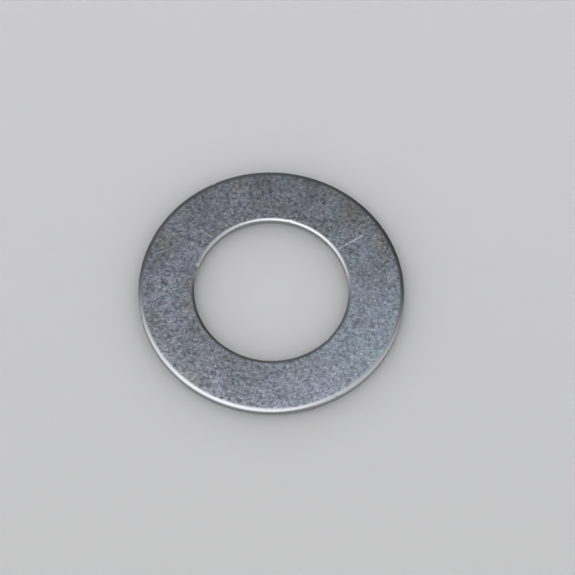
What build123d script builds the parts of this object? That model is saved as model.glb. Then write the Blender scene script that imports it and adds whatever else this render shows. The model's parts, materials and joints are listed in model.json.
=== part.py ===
from build123d import *
import os

# Flat washer: one ring stamped from steel strip by a compound die, then tumbled.
# Both cut edges are drawn in round at the upper face (the die roll) and run down to a
# straight sheared wall. Tumbling leaves a small round of its own on the two lower edges.
# Units are millimetres. The ring lies on the plane z = 0 and its axis is Z.

# Driving dimensions
outer_diameter = 35.0
bore_diameter = 20.25
thickness = 1.0
rim_roll_width = 0.65  # how far the rounded upper edge reaches in from the rim
rim_roll_depth = 0.28  # how far it reaches down the outer wall
bore_roll_width = 0.46  # the same two sizes for the edge of the hole
bore_roll_depth = 0.25
edge_break = 0.08  # radius that tumbling leaves on the lower edges

quarter_turn = 90  # degrees
straight_down = 270


def die_roll(wall_radius, roll_width, roll_depth, inwards):
    """Quarter ellipse from the wall up to the face; inwards is -1 on the rim, 1 in the bore."""
    centre = (wall_radius + inwards * roll_width, thickness - roll_depth)
    start = straight_down - inwards * quarter_turn
    return EllipticalCenterArc(
        centre, roll_width, roll_depth, start, arc_size=-inwards * quarter_turn
    )


def lower_round(wall_radius, inwards):
    """Quarter circle from the lower face up to the wall."""
    centre = (wall_radius + inwards * edge_break, edge_break)
    return CenterArc(centre, edge_break, straight_down, arc_size=-inwards * quarter_turn)


def ring_section():
    """Half section of the ring in the XZ plane, as a closed face."""
    rim = outer_diameter / 2
    bore = bore_diameter / 2
    rim_roll = die_roll(rim, rim_roll_width, rim_roll_depth, -1)
    bore_roll = die_roll(bore, bore_roll_width, bore_roll_depth, 1)
    rim_round = lower_round(rim, -1)
    bore_round = lower_round(bore, 1)
    outline = [
        rim_round,
        Line(rim_round @ 1, rim_roll @ 0),
        rim_roll,
        Line(rim_roll @ 1, bore_roll @ 1),
        bore_roll,
        Line(bore_roll @ 0, bore_round @ 1),
        bore_round,
        Line(bore_round @ 0, rim_round @ 0),
    ]
    return Plane.XZ * make_face(outline)


def flat_washer():
    """The whole ring as one solid."""
    return revolve(ring_section(), Axis.Z)


os.makedirs("parts", exist_ok=True)
washer = flat_washer()
export_step(washer, "parts/flat_washer.step")
print("flat_washer volume", round(washer.volume, 3), "mm3")
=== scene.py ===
import math

import bmesh
import bpy
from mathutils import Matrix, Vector
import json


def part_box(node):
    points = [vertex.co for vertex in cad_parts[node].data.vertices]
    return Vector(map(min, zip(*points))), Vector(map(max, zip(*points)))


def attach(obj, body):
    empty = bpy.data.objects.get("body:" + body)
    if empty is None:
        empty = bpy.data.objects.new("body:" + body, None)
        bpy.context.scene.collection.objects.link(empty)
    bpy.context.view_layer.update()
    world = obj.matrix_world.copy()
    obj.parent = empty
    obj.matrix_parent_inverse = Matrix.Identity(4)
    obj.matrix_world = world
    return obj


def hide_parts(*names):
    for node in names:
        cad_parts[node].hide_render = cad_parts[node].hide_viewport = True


# A punched and tumbled steel washer on a pale table

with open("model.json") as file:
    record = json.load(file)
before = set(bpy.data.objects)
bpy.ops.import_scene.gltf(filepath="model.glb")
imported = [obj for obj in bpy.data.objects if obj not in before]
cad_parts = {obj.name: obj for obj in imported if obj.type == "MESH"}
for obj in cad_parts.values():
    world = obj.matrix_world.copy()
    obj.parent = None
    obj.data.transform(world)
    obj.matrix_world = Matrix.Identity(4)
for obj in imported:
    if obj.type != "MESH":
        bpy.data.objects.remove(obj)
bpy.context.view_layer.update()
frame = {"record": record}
mm = 0.001
weld = 0.002 * mm  # points nearer than this are one point

# the ring's own sizes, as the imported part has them
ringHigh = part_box("flat_washer")[1]
boreMount = [m for m in frame["record"]["mounts"] if m["name"] == "bore"][0]
thickness = ringHigh.z
rimRadius = ringHigh.x
boreRadius = boreMount["dims"]["r_mm"] * mm
print("frame: rim", rimRadius, "bore", boreRadius, "thickness", thickness)


def deselectAll():
    bpy.ops.object.select_all(action="DESELECT")


def pickOnly(piece):
    deselectAll()
    piece.select_set(True)
    bpy.context.view_layer.objects.active = piece


# The ring's half section, drawn point by point and then turned once round the axis
section = {
    "around": 720,  # steps round the ring
    "faceSteps": 47,
    "underSteps": 36,
    "crown": 0.020 * mm,  # the upper face is this much higher in its middle than beside the rolls
    "rimRoll": (0.65 * mm, 0.28 * mm, 12),  # reach over the face, depth down the wall, steps
    "boreRoll": (0.62 * mm, 0.25 * mm, 12),
    "boreRollPower": 3,  # above 2 the curve starts more gently and ends quicker
    "lowerRound": (0.08 * mm, 3),
    "landShare": 0.42,  # burnished part of the sheared wall, from the top
    "landSteps": 4,
    "tearSteps": 5,
    "tearDepth": 0.022 * mm,  # how far the torn part falls back from the burnished part
    "tearRamp": 0.12,  # share of the torn part that leads into it, at either end
}


def quarter(centreR, centreZ, reach, depth, fromDeg, toDeg, steps):
    points = []
    for i in range(steps + 1):
        a = math.radians(fromDeg + (toDeg - fromDeg) * i / steps)
        points.append((centreR + reach * math.cos(a), centreZ + depth * math.sin(a)))
    return points


def straight(start, end, steps):
    # the points after start, up to and with end
    points = []
    for i in range(1, steps + 1):
        k = i / steps
        points.append((start[0] + (end[0] - start[0]) * k, start[1] + (end[1] - start[1]) * k))
    return points


def wallPoints(wallRadius, low, high, into):
    # from the lower end up: torn part, then burnished part
    brink = high - (high - low) * section["landShare"]
    ramp = (brink - low) * section["tearRamp"]
    tornRadius = wallRadius + into * section["tearDepth"]
    points = straight((wallRadius, low), (tornRadius, low + ramp), 1)
    points += straight(points[-1], (tornRadius, brink - ramp), section["tearSteps"] - 1)
    points += straight(points[-1], (wallRadius, brink), 1)
    points += straight(points[-1], (wallRadius, high), section["landSteps"])
    return points


def crownPoints(start, end, steps):
    # a very flat arch between the two rolls
    points = []
    for radius, height in straight(start, end, steps):
        k = 2 * (radius - start[0]) / (end[0] - start[0]) - 1
        points.append((radius, height + section["crown"] * (1 - k * k)))
    return points


def ringSection():
    rimReach, rimDepth, rimSteps = section["rimRoll"]
    boreReach, boreDepth, boreSteps = section["boreRoll"]
    soft, softSteps = section["lowerRound"]
    shoulder = thickness - section["crown"]
    points = quarter(rimRadius - soft, soft, soft, soft, -90, 0, softSteps)
    points += wallPoints(rimRadius, soft, shoulder - rimDepth, -1)
    points += quarter(rimRadius - rimReach, shoulder - rimDepth, rimReach, rimDepth, 0, 90, rimSteps)[1:]
    points += crownPoints(points[-1], (boreRadius + boreReach, shoulder), section["faceSteps"])
    for i in range(1, boreSteps + 1):
        k = math.sin(math.pi / 2 * i / boreSteps)
        drop = boreDepth * (1 - math.sqrt(max(0, 1 - k ** section["boreRollPower"])))
        points.append((boreRadius + boreReach * (1 - k), shoulder - drop))
    points += wallPoints(boreRadius, soft, shoulder - boreDepth, 1)[-2::-1]
    points += [(boreRadius, soft)]
    points += quarter(boreRadius + soft, soft, soft, soft, 180, 270, softSteps)[1:]
    points += straight(points[-1], points[0], section["underSteps"])
    return points


def spinRing():
    outline = ringSection()
    deselectAll()
    bpy.ops.mesh.primitive_plane_add(size=mm, location=(outline[0][0], 0, outline[0][1]))
    ring = bpy.context.object
    ring.name = "washer_ring"
    bpy.ops.object.mode_set(mode="EDIT")
    bpy.ops.mesh.select_all(action="SELECT")
    bpy.ops.mesh.merge(type="CENTER")
    for here, there in zip(outline, outline[1:]):
        step = (there[0] - here[0], 0, there[1] - here[1])
        bpy.ops.mesh.extrude_region_move(TRANSFORM_OT_translate={"value": step})
    bpy.ops.mesh.select_all(action="SELECT")
    bpy.ops.mesh.remove_doubles(threshold=weld)
    bpy.ops.object.mode_set(mode="OBJECT")
    bpy.ops.object.transform_apply(location=True, rotation=True, scale=True)
    turn = ring.modifiers.new("turn", "SCREW")
    turn.axis = "Z"
    turn.angle = math.tau
    turn.steps = section["around"]
    turn.render_steps = section["around"]
    turn.use_merge_vertices = True
    turn.merge_threshold = weld
    bpy.ops.object.modifier_apply(modifier="turn")
    bpy.ops.object.mode_set(mode="EDIT")
    bpy.ops.mesh.select_all(action="SELECT")
    bpy.ops.mesh.remove_doubles(threshold=weld)
    bpy.ops.mesh.normals_make_consistent(inside=False)
    bpy.ops.object.mode_set(mode="OBJECT")
    return ring


ring = spinRing()
print("ring spun:", len(ring.data.vertices), "points,", len(ring.data.polygons), "faces")

# Relief from the tumbling drum on the faces and from the punch on the walls
relief = {
    # name: grain size, most it sinks, noise depth, where
    "swell": (3.4 * mm, 0.010 * mm, 1, "face"),
    "dents": (0.75 * mm, 0.007 * mm, 2, "face"),
    "tear": (0.20 * mm, 0.045 * mm, 2, "tear"),
    "land": (0.30 * mm, 0.006 * mm, 1, "land"),
}
reliefFade = {
    "edge": 0.3 * mm,  # the faces stay smooth this near the rim and the bore
    "width": 1.8 * mm,  # and get their full relief over this width
    "least": 0.04,
    "tear": 0.10 * mm,
    "land": 0.08 * mm,
}


def clamp(value):
    return min(1, max(0, value))


def wallShare(radius, height):
    # how far a point is into the torn part of a wall, and into the burnished part
    onWall = min(abs(radius - rimRadius), abs(radius - boreRadius)) < section["tearDepth"] * 1.5
    top = thickness - section["boreRoll"][1]
    if not onWall or height > top:
        return 0, 0
    brink = top * (1 - section["landShare"])
    torn = clamp((brink - height) / reliefFade["tear"]) * clamp(height / reliefFade["tear"])
    return torn, clamp((height - brink) / reliefFade["land"])


def faceShare(radius):
    # one on the flats, fading to nothing over the rolled edges
    inside = min(rimRadius - radius, radius - boreRadius)
    return max(reliefFade["least"], clamp((inside - reliefFade["edge"]) / reliefFade["width"]))


def makeGroups(ring):
    groups = {name: ring.vertex_groups.new(name=name) for name in ("face", "tear", "land")}
    for point in ring.data.vertices:
        radius = math.hypot(point.co.x, point.co.y)
        torn, burnished = wallShare(radius, point.co.z)
        if torn > 0:
            groups["tear"].add([point.index], torn, "REPLACE")
        if burnished > 0:
            groups["land"].add([point.index], burnished, "REPLACE")
        if torn == 0 and burnished == 0:
            groups["face"].add([point.index], faceShare(radius), "REPLACE")


def sink(ring, name):
    grain, most, depth, group = relief[name]
    cloud = bpy.data.textures.new(name, "CLOUDS")
    cloud.noise_scale = grain
    cloud.noise_depth = depth
    push = ring.modifiers.new(name, "DISPLACE")
    push.texture = cloud
    push.texture_coords = "LOCAL"
    push.direction = "NORMAL"
    push.mid_level = 1.0  # only ever inwards
    push.strength = most
    push.vertex_group = group
    bpy.ops.object.modifier_apply(modifier=name)


pickOnly(ring)
makeGroups(ring)
for name in relief:
    sink(ring, name)
print("relief done:", ", ".join(relief))


def polar(radius, turn, height):
    a = math.radians(turn)
    return Vector((radius * math.cos(a), radius * math.sin(a), height))


def editMesh(ring):
    # the mesh as it is in edit mode, with nothing picked
    bpy.ops.mesh.select_all(action="DESELECT")
    return bmesh.from_edit_mesh(ring.data)


def pressDown(push, reach, falloff):
    # what is picked moves, and draws its surroundings with it
    bpy.ops.transform.translate(
        value=push,
        use_proportional_edit=True,
        proportional_edit_falloff=falloff,
        proportional_size=reach,
    )


def knock(ring, at, push, reach):
    # press one spot in, with a soft fall-off round it
    mesh = editMesh(ring)
    near = min(mesh.verts, key=lambda point: (point.co - at).length_squared)
    near.select_set(True)
    pressDown(push, reach, "SMOOTH")


# in mm: radius, angle round the axis from +X, how far it is pressed in and down, reach
nicks = [
    (10.20, 163.5, 0.03, -0.03, 0.70),
    (17.42, 158.0, -0.03, -0.03, 0.45),
    (17.42, 22.0, -0.03, -0.03, 0.45),
    (17.42, 301.0, -0.06, -0.05, 0.45),
    (10.22, 78.0, 0.04, -0.04, 0.40),
    (17.42, 118.0, -0.05, -0.05, 0.45),
    (10.22, 318.0, 0.05, -0.05, 0.50),
]
nickDepth = 0.12 * mm  # below the upper face
pickOnly(ring)
bpy.ops.object.mode_set(mode="EDIT")
bpy.ops.mesh.select_mode(type="VERT")
for radius, turn, inwards, down, reach in nicks:
    spot = polar(radius * mm, turn, thickness - nickDepth)
    knock(ring, spot, polar(inwards * mm, turn, down * mm), reach * mm)
print("nicks knocked in:", len(nicks))

# in mm: start radius and angle, end radius and angle, width, depth
scratches = [
    (10.72, 35.6, 14.72, 35.4, 0.20, 0.013),
    (12.75, 139.4, 10.80, 138.4, 0.17, 0.005),
    (16.40, 164.5, 15.10, 160.5, 0.14, 0.005),
    (13.90, 152.0, 15.10, 149.0, 0.12, 0.004),
]
scratchRoom = 0.12 * mm  # how far past a groove the cuts run
scratchEnd = 0.02  # share of its length that stays level at either end
faceLevel = thickness * 0.9  # only the upper face is above this
faceUpright = 0.9  # and only its faces point up more than this


def scratchLine(scratchRow):
    startRadius, startTurn, endRadius, endTurn, width, depth = scratchRow
    start = polar(startRadius * mm, startTurn, 0)
    end = polar(endRadius * mm, endTurn, 0)
    return start, (end - start).normalized(), (end - start).length, width * mm, depth * mm


def cutScratch(ring, scratchRow):
    # a V groove: three cuts along the line, then the middle one is pressed down
    start, along, length, width, depth = scratchLine(scratchRow)
    side = Vector((-along.y, along.x, 0))
    room = width + scratchRoom
    for shift in (-width / 2, width / 2, 0):
        for face in editMesh(ring).faces:
            if face.normal.z < faceUpright:
                continue
            offset = face.calc_center_median() - start
            if abs(offset.dot(side)) < room and -room < offset.dot(along) < length + room:
                face.select_set(True)
        bpy.ops.mesh.bisect(plane_co=start + side * shift, plane_no=side, threshold=weld)
    for point in editMesh(ring).verts:
        offset = point.co - start
        k = offset.dot(along) / length
        inLine = abs(offset.dot(side)) < weld and scratchEnd < k < 1 - scratchEnd
        if inLine and point.co.z > faceLevel:
            point.select_set(True)
    pressDown((0, 0, -depth), width / 2, "LINEAR")


for scratchRow in scratches:
    cutScratch(ring, scratchRow)
bpy.ops.object.mode_set(mode="OBJECT")
bpy.ops.object.shade_smooth()
print("scratches cut:", len(scratches), "points now", len(ring.data.vertices))


def keepScratchGlintShare(ring):
    # a painted highlight along each cut groove, one at its floor and little at its edges, for the material
    share = ring.data.attributes.new("scratchGlintShare", "FLOAT", "POINT")
    for scratchRow in scratches:
        start, along, length, width, depth = scratchLine(scratchRow)
        for point in ring.data.vertices:
            if point.co.z < faceLevel:
                continue
            offset = Vector((point.co.x, point.co.y, 0)) - start
            k = offset.dot(along)
            aside = (offset - along * k).length
            if 0 < k < length and aside < width * 0.6:
                share.data[point.index].value = 1 - 1.5 * aside / width


def keepWallShare(ring, name):
    # the torn or the burnished band of the walls, the same way
    share = ring.data.attributes.new(name + "Share", "FLOAT", "POINT")
    group = ring.vertex_groups[name].index
    for point in ring.data.vertices:
        share.data[point.index].value = sum(g.weight for g in point.groups if g.group == group)


keepScratchGlintShare(ring)
keepWallShare(ring, "tear")
keepWallShare(ring, "land")
ring.vertex_groups.clear()


# Short ways to add the nodes that the materials and the room use
def newMaterial(name):
    made = bpy.data.materials.new(name)
    made.use_nodes = True
    place = made.node_tree.nodes.new("ShaderNodeTexCoord")
    place.name = "place"
    return made


def objectPlace(tree):
    return tree.nodes["place"].outputs["Object"]


def addNode(tree, kind, **fields):
    node = tree.nodes.new(kind)
    for field, value in fields.items():
        setattr(node, field, value)
    return node


def feed(tree, value, socket):
    if isinstance(value, bpy.types.NodeSocket):
        tree.links.new(value, socket)
    else:
        socket.default_value = value


def calc(tree, operation, first, second=0.0):
    node = addNode(tree, "ShaderNodeMath", operation=operation)
    feed(tree, first, node.inputs[0])
    feed(tree, second, node.inputs[1])
    return node.outputs[0]


def times(tree, first, second):
    return calc(tree, "MULTIPLY", first, second)


def noise(tree, place, size, detail=1.0, rough=0.5, warp=0.0):
    node = addNode(tree, "ShaderNodeTexNoise")
    feed(tree, place, node.inputs["Vector"])
    node.inputs["Scale"].default_value = 1 / size
    node.inputs["Detail"].default_value = detail
    node.inputs["Roughness"].default_value = rough
    node.inputs["Distortion"].default_value = warp
    return node.outputs["Fac"]


def spread(tree, value, low, high, toLow=0.0, toHigh=1.0, how="SMOOTHSTEP"):
    node = addNode(tree, "ShaderNodeMapRange", interpolation_type=how)
    feed(tree, value, node.inputs["Value"])
    node.inputs["From Min"].default_value = low
    node.inputs["From Max"].default_value = high
    node.inputs["To Min"].default_value = toLow
    node.inputs["To Max"].default_value = toHigh
    return node.outputs["Result"]


def blend(tree, share, low, high, how="MIX"):
    node = addNode(tree, "ShaderNodeMix", data_type="RGBA", blend_type=how)
    feed(tree, share, node.inputs["Factor"])
    feed(tree, low, node.inputs["A"])
    feed(tree, high, node.inputs["B"])
    return node.outputs["Result"]


def turned(tree, turn, shift=(0, 0, 0), scale=(1, 1, 1)):
    node = addNode(tree, "ShaderNodeMapping", vector_type="TEXTURE")  # turns first, then stretches
    feed(tree, objectPlace(tree), node.inputs["Vector"])
    node.inputs["Location"].default_value = shift
    node.inputs["Rotation"].default_value = (0, 0, math.radians(turn))
    node.inputs["Scale"].default_value = scale
    return node.outputs["Vector"]


def awayFrom(tree, spot):
    node = addNode(tree, "ShaderNodeVectorMath", operation="DISTANCE")
    feed(tree, objectPlace(tree), node.inputs[0])
    node.inputs[1].default_value = spot
    return node.outputs["Value"]


def pointShare(tree, name):
    return addNode(tree, "ShaderNodeAttribute", attribute_name=name).outputs["Fac"]


def bump(tree, height, distance, under=None):
    node = addNode(tree, "ShaderNodeBump")
    feed(tree, height, node.inputs["Height"])
    node.inputs["Distance"].default_value = distance
    node.inputs["Strength"].default_value = 1.0
    if under is not None:
        feed(tree, under, node.inputs["Normal"])
    return node.outputs["Normal"]


steelLook = {
    "cool": (0.345, 0.371, 0.428, 1),
    "violet": (0.340, 0.359, 0.446, 1),
    "teal": (0.328, 0.389, 0.430, 1),
    "patchSize": 5.5 * mm,
    "violetFrom": (0.36, 0.60),  # where the noise turns cool to violet
    "tealFrom": (0.52, 0.76),
    "tealShare": 0.7,
    "warm": (0.383, 0.371, 0.346, 1),
    "tarnishShare": 0.66,
    "tarnishRagged": 0.9,  # how far the noise pushes a spot's edge, as a share of its reach
    "tarnishFade": (1.7, 0.5),  # from nothing to full, in the same shares
    "tarnish": (  # brownish spots, in mm: reach, then radius and angle of the middle
        (2.6, 15.6, 47),
        (1.8, 16.4, 62),
        (1.8, 16.2, 28),
        (1.9, 16.0, 107),
        (1.9, 16.3, 156),
        (1.5, 10.9, 178),
        (1.6, 11.0, 195),
        (1.6, 16.5, 232),
    ),
    "pitShade": (0.07, 0.07, 0.08, 1),
    "pitShadeShare": 0.8,
    "pitFloor": 0.4,  # full depth of tone within this share of the reach
    "pitShades": (  # the same for painted shade: small dark spots that stand for pits
        (0.26, 16.84, 249.2),
        (0.20, 11.1, 170.5),
        (0.18, 14.1, 52),
        (0.18, 15.0, 45),
    ),
    "bright": (0.76, 0.79, 0.85, 1),  # painted glints: the bright tone given to marks, specks and scratches
    "polishedRim": (0.368, 0.370, 0.376, 1),  # the rolled edges
    "polishedBore": (0.408, 0.410, 0.416, 1),
    "polishShare": 0.9,
    "polishChange": 2 * mm,  # the bore's tone gives way to the rim's this far from both
    "rimFade": (0.66 * mm, 0.44 * mm),  # grain dies away between these distances from the rim
    "boreFade": (0.55 * mm, 0.30 * mm),
    "leastGrain": 0.1,  # on the rolled edges
    "grain": 0.40 * mm,
    "grainSink": 0.006 * mm,
    "grainRange": (0.20, 0.80),  # the stretch of the noise that is used
    "grainTone": (0.40, 1.68),  # its darkest and lightest, as shares of the tone
    "grainContrast": (1.12, 0.28),  # on the plain face, and how much less on the side painted brighter
    "markSink": -0.003 * mm,
    "markShine": 0.40,
    "markCurl": 0.70 * mm,
    "markWidth": 0.12,
    "markKeep": (0.50, 0.64),  # a mark shows where a second noise passes from one to the other
    "markLayers": ((0, 0.0137), (55, 0.0271), (115, 0.0519)),  # turn and shift
    "speck": 0.34 * mm,
    "speckShine": 0.85,
    "speckFrom": (0.62, 0.78),
    "speckGroups": 3.2 * mm,
    "speckGroupsFrom": (0.40, 0.62),
    "speckLeast": 0.25,  # share of the specks left between the groups
    "scratchShine": 0.60,
    "paintedBrightSideAt": (12 * mm, -5 * mm, 1 * mm),  # painted light: the face is painted brighter near this spot, and its grain weaker
    "paintedBrightSideReach": (17 * mm, 5 * mm),
    "paintedBrightSide": (1.19, 1.29, 1.27, 1),
    "torn": (0.44, 0.44, 0.44, 1),
    "tornShare": 0.9,
    "tornGrain": 0.12 * mm,
    "tornSink": 0.05 * mm,
    "drawn": (0.32, 0.32, 0.33, 1),
    "drawnLines": 0.16 * mm,
    "drawnLength": 12,  # the lines are this much longer than wide, up the wall
    "drawnFrom": (0.35, 0.65),
    "drawnShare": (0.2, 0.7),
    "drawnSink": 0.010 * mm,
    "roughness": (0.19, 0.25),
    "roughnessFrom": (0.3, 0.7),
    "tornRougher": 0.25,
    "marksSmoother": 0.05,
}


def fromAxis(tree):
    flat = addNode(tree, "ShaderNodeVectorMath", operation="MULTIPLY")
    feed(tree, objectPlace(tree), flat.inputs[0])
    flat.inputs[1].default_value = (1, 1, 0)
    away = addNode(tree, "ShaderNodeVectorMath", operation="LENGTH")
    feed(tree, flat.outputs["Vector"], away.inputs[0])
    return away.outputs["Value"]


def flatShare(tree, radius):
    # one on the flats, little on the rolled edges
    rimFar, rimNear = steelLook["rimFade"]
    boreFar, boreNear = steelLook["boreFade"]
    least = steelLook["leastGrain"]
    onRim = spread(tree, radius, rimRadius - rimFar, rimRadius - rimNear, 1, least)
    onBore = spread(tree, radius, boreRadius + boreNear, boreRadius + boreFar, least, 1)
    return times(tree, onRim, onBore)


def slowTone(tree, patch):
    # cool and violet patches, a little teal, and brownish tarnish with ragged edges
    place = turned(tree, 30, (0.05, 0.02, 0))
    smaller = noise(tree, place, steelLook["patchSize"] * 0.6, 1.0, 0.5, 0.3)
    tone = blend(tree, spread(tree, patch, *steelLook["violetFrom"]), steelLook["cool"], steelLook["violet"])
    tealShare = spread(tree, smaller, *steelLook["tealFrom"], 0.0, steelLook["tealShare"])
    tone = blend(tree, tealShare, tone, steelLook["teal"])
    none, full = steelLook["tarnishFade"]
    for reach, spotRadius, spotTurn in steelLook["tarnish"]:
        reach = reach * mm
        away = awayFrom(tree, polar(spotRadius * mm, spotTurn, thickness))
        ragged = calc(tree, "ADD", away, times(tree, smaller, reach * steelLook["tarnishRagged"]))
        here = spread(tree, ragged, reach * none, reach * full, 0.0, steelLook["tarnishShare"])
        tone = blend(tree, here, tone, steelLook["warm"])
    return tone


def tumbleMarksAndGlints(tree):
    # short curled marks, relief with painted glints: the middle lines of a soft noise, kept only here and
    # there
    total = None
    curl = steelLook["markCurl"]
    for turn, shift in steelLook["markLayers"]:
        bed = noise(tree, turned(tree, turn, (shift, shift * 0.6, 0)), curl, 0.0, 0.5, 0.5)
        line = calc(tree, "ABSOLUTE", calc(tree, "SUBTRACT", bed, 0.5))
        line = spread(tree, line, steelLook["markWidth"], 0.0)
        here = noise(tree, turned(tree, turn + 40, (shift, 0.01, 0)), curl * 1.3, 0.0)
        line = times(tree, line, spread(tree, here, *steelLook["markKeep"]))
        total = line if total is None else calc(tree, "MAXIMUM", total, line)
    return total


# painted glints: small bright specks on the face
def glintSpecks(tree):
    speck = noise(tree, turned(tree, 20, (0.03, 0.04, 0)), steelLook["speck"], 0.0)
    where = noise(tree, turned(tree, 65, (0.06, 0.01, 0)), steelLook["speckGroups"])
    speck = spread(tree, speck, *steelLook["speckFrom"])
    where = spread(tree, where, *steelLook["speckGroupsFrom"], steelLook["speckLeast"], 1.0)
    return times(tree, speck, where)


# painted shade: near-black spots where small pits would be, with no hollow in the mesh
def addPitShades(tree, tone):
    for reach, spotRadius, spotTurn in steelLook["pitShades"]:
        reach = reach * mm
        away = awayFrom(tree, polar(spotRadius * mm, spotTurn, thickness))
        here = spread(tree, away, reach, reach * steelLook["pitFloor"], 0.0, steelLook["pitShadeShare"])
        tone = blend(tree, here, tone, steelLook["pitShade"])
    return tone


def tumbledSteel():
    steel = newMaterial("tumbled_steel")
    tree = steel.node_tree
    shader = tree.nodes["Principled BSDF"]
    bright = steelLook["bright"]
    radius = fromAxis(tree)
    patch = noise(tree, objectPlace(tree), steelLook["patchSize"], 1.0, 0.5, 0.3)
    grain = noise(tree, objectPlace(tree), steelLook["grain"], 1.0, 0.5, 0.3)
    flat = flatShare(tree, radius)
    marks = times(tree, tumbleMarksAndGlints(tree), flat)
    brightSideShare = spread(tree, awayFrom(tree, steelLook["paintedBrightSideAt"]), *steelLook["paintedBrightSideReach"])

    # painted light: the front-right of the face is painted brighter, and the grain is weaker there
    plain, less = steelLook["grainContrast"]
    contrast = calc(tree, "SUBTRACT", plain, times(tree, brightSideShare, less))
    shade = spread(tree, grain, *steelLook["grainRange"], *steelLook["grainTone"], "LINEAR")
    shade = calc(tree, "POWER", shade, times(tree, flat, contrast))
    tone = blend(tree, 1.0, slowTone(tree, patch), shade, "MULTIPLY")
    # painted glints: the marks and specks are given a bright tone
    tone = blend(tree, times(tree, marks, steelLook["markShine"]), tone, bright)
    specks = times(tree, glintSpecks(tree), flat)
    tone = blend(tree, times(tree, specks, steelLook["speckShine"]), tone, bright)
    # painted highlight along the scratch grooves
    scratchGlint = pointShare(tree, "scratchGlintShare")
    tone = blend(tree, times(tree, scratchGlint, steelLook["scratchShine"]), tone, bright)
    tone = addPitShades(tree, tone)
    # painted light: the brighter side of the face
    tone = blend(tree, brightSideShare, tone, blend(tree, 1.0, tone, steelLook["paintedBrightSide"], "MULTIPLY"))

    # the rolled edges are polished
    change = steelLook["polishChange"]
    most = steelLook["polishShare"]
    outer = spread(tree, radius, boreRadius + change, rimRadius - change)
    polished = blend(tree, outer, steelLook["polishedBore"], steelLook["polishedRim"])
    tone = blend(tree, calc(tree, "SUBTRACT", most, times(tree, flat, most)), tone, polished)

    # the walls: a darker drawn band above, a dull torn band below
    torn = pointShare(tree, "tearShare")
    land = pointShare(tree, "landShare")
    upTheWall = turned(tree, 0, scale=(1, 1, steelLook["drawnLength"]))
    drawn = noise(tree, upTheWall, steelLook["drawnLines"], 2.0, 0.6)
    lines = spread(tree, drawn, *steelLook["drawnFrom"], *steelLook["drawnShare"])
    tone = blend(tree, times(tree, torn, steelLook["tornShare"]), tone, steelLook["torn"])
    tone = blend(tree, times(tree, land, lines), tone, steelLook["drawn"])
    feed(tree, tone, shader.inputs["Base Color"])
    shader.inputs["Metallic"].default_value = 1.0

    roughness = spread(tree, patch, *steelLook["roughnessFrom"], *steelLook["roughness"])
    roughness = calc(tree, "ADD", roughness, times(tree, torn, steelLook["tornRougher"]))
    roughness = calc(tree, "SUBTRACT", roughness, times(tree, marks, steelLook["marksSmoother"]))
    feed(tree, roughness, shader.inputs["Roughness"])

    offWalls = calc(tree, "SUBTRACT", 1.0, calc(tree, "MAXIMUM", torn, land))
    flat = times(tree, flat, offWalls)
    tornGrain = noise(tree, objectPlace(tree), steelLook["tornGrain"], 3.0, 0.65)
    normal = bump(tree, times(tree, grain, flat), steelLook["grainSink"])
    normal = bump(tree, times(tree, marks, flat), steelLook["markSink"], normal)
    normal = bump(tree, times(tree, drawn, land), steelLook["drawnSink"], normal)
    normal = bump(tree, times(tree, tornGrain, torn), steelLook["tornSink"], normal)
    feed(tree, normal, shader.inputs["Normal"])
    return steel


ring.data.materials.clear()
ring.data.materials.append(tumbledSteel())
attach(ring, "root")
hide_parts("flat_washer")
print("steel on")

table = {
    "size": 3.0,
    "front": (0.564, 0.566, 0.571, 1),
    "back": (0.598, 0.598, 0.620, 1),
    "frontToBack": (-0.045, 0.055),  # painted light: the table is painted darker at the front and lighter at the back, changing between these places
    "roughness": 0.55,
    "shine": 0.25,
    "scatter": 20 * mm,  # light creeps this far inside the table top
    "scatterShare": 0.92,
}


def paleTop():
    top = newMaterial("table_top")
    tree = top.node_tree
    shader = tree.nodes["Principled BSDF"]
    apart = addNode(tree, "ShaderNodeSeparateXYZ")
    feed(tree, objectPlace(tree), apart.inputs[0])
    share = spread(tree, apart.outputs["Y"], *table["frontToBack"], how="LINEAR")
    feed(tree, blend(tree, share, table["front"], table["back"]), shader.inputs["Base Color"])
    shader.inputs["Roughness"].default_value = table["roughness"]
    shader.inputs["Specular IOR Level"].default_value = table["shine"]
    shader.inputs["Subsurface Weight"].default_value = table["scatterShare"]
    shader.inputs["Subsurface Radius"].default_value = (1, 1, 1)
    shader.inputs["Subsurface Scale"].default_value = table["scatter"]
    return top


deselectAll()
bpy.ops.mesh.primitive_plane_add(size=table["size"], location=(0, 0, 0))
tableTop = bpy.context.object
tableTop.name = "table_top"
tableTop.data.materials.append(paleTop())

keyLight = {
    "place": (-0.10, -0.16, 0.60),
    "size": 0.45,
    "power": 0.20,
    "tint": (1.0, 0.99, 0.98),
}


def addKeyLight():
    bpy.ops.object.light_add(type="AREA", location=keyLight["place"])
    box = bpy.context.object
    box.name = "key_softbox"
    box.rotation_euler = (-Vector(keyLight["place"])).to_track_quat("-Z", "Y").to_euler()
    box.data.shape = "SQUARE"
    box.data.size = keyLight["size"]
    box.data.energy = keyLight["power"]
    box.data.color = keyLight["tint"]


addKeyLight()

# The room: soft and bright overhead and in front, dim behind and to the far right
room = {
    "power": 2.4,
    # how far front (-1) or back (1) of straight up, and the brightness there
    "frontToBack": (
        (-1.0, 0.50), (-0.80, 0.90), (-0.60, 1.60), (-0.27, 2.40), (0.06, 2.22), (0.22, 1.55),
        (0.32, 0.84), (0.39, 0.36), (0.47, 0.20), (0.62, 0.19), (1.0, 0.20),
    ),
    # the same from left to right, as a share
    "leftToRight": (
        (-1.0, 0.45), (-0.75, 0.82), (-0.45, 1.0), (0.0, 1.0), (0.12, 0.90),
        (0.30, 0.52), (0.52, 0.54), (0.68, 0.46), (1.0, 0.46),
    ),
    "paper": (0.56, 0.565, 0.57, 1),  # what the camera sees past the table
}


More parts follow.
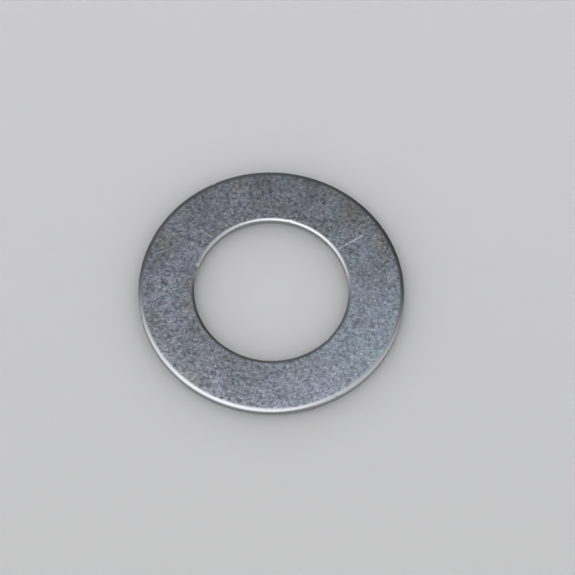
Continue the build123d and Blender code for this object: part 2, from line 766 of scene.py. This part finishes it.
def skyRamp(tree, along, stops, most):
    share = spread(tree, along, -1, 1, how="LINEAR")
    ramp = addNode(tree, "ShaderNodeValToRGB")
    feed(tree, share, ramp.inputs["Fac"])
    steps = ramp.color_ramp.elements
    while len(steps) < len(stops):
        steps.new(0.5)
    for step, (at, level) in zip(steps, stops):
        step.position = (at + 1) / 2
        step.color = (level / most, level / most, level / most, 1)
    return ramp.outputs["Color"]


def lightRoom():
    sky = bpy.data.worlds.new("studio")
    bpy.context.scene.world = sky
    sky.use_nodes = True
    tree = sky.node_tree
    way = addNode(tree, "ShaderNodeTexCoord")
    apart = addNode(tree, "ShaderNodeSeparateXYZ")
    feed(tree, way.outputs["Generated"], apart.inputs[0])
    both = addNode(tree, "ShaderNodeVectorMath", operation="MULTIPLY")
    feed(tree, skyRamp(tree, apart.outputs["Y"], room["frontToBack"], room["power"]), both.inputs[0])
    feed(tree, skyRamp(tree, apart.outputs["X"], room["leftToRight"], 1), both.inputs[1])
    glow = tree.nodes["Background"]
    glow.inputs["Strength"].default_value = room["power"]
    feed(tree, both.outputs["Vector"], glow.inputs["Color"])
    paper = addNode(tree, "ShaderNodeBackground")
    paper.inputs["Color"].default_value = room["paper"]
    seen = addNode(tree, "ShaderNodeLightPath")
    either = addNode(tree, "ShaderNodeMixShader")
    feed(tree, seen.outputs["Is Camera Ray"], either.inputs["Fac"])
    feed(tree, glow.outputs["Background"], either.inputs[1])
    feed(tree, paper.outputs["Background"], either.inputs[2])
    feed(tree, either.outputs["Shader"], tree.nodes["World Output"].inputs["Surface"])


lightRoom()

cameraPlace = {
    "height": 64.83,  # degrees above the table
    "lean": 2.165,  # degrees, a slight turn about the line of sight
    "away": 383.2 * mm,
    "lens": 182.1,
    "sensor": 36,
    "shift": (0.0281, 0.0091),
    "nearest": 10 * mm,
}


def addCamera():
    tilt = math.radians(cameraPlace["height"])
    away = cameraPlace["away"]
    bpy.ops.object.camera_add(location=(0, -away * math.cos(tilt), away * math.sin(tilt)))
    camera = bpy.context.object
    camera.rotation_mode = "ZYX"
    camera.rotation_euler = (math.pi / 2 - tilt, 0, math.radians(cameraPlace["lean"]))
    camera.data.sensor_width = cameraPlace["sensor"]
    camera.data.lens = cameraPlace["lens"]
    camera.data.shift_x, camera.data.shift_y = cameraPlace["shift"]
    camera.data.clip_start = cameraPlace["nearest"]
    return camera


bpy.context.scene.camera = addCamera()
bpy.context.scene.view_settings.view_transform = "Standard"
print("table, light and camera set")
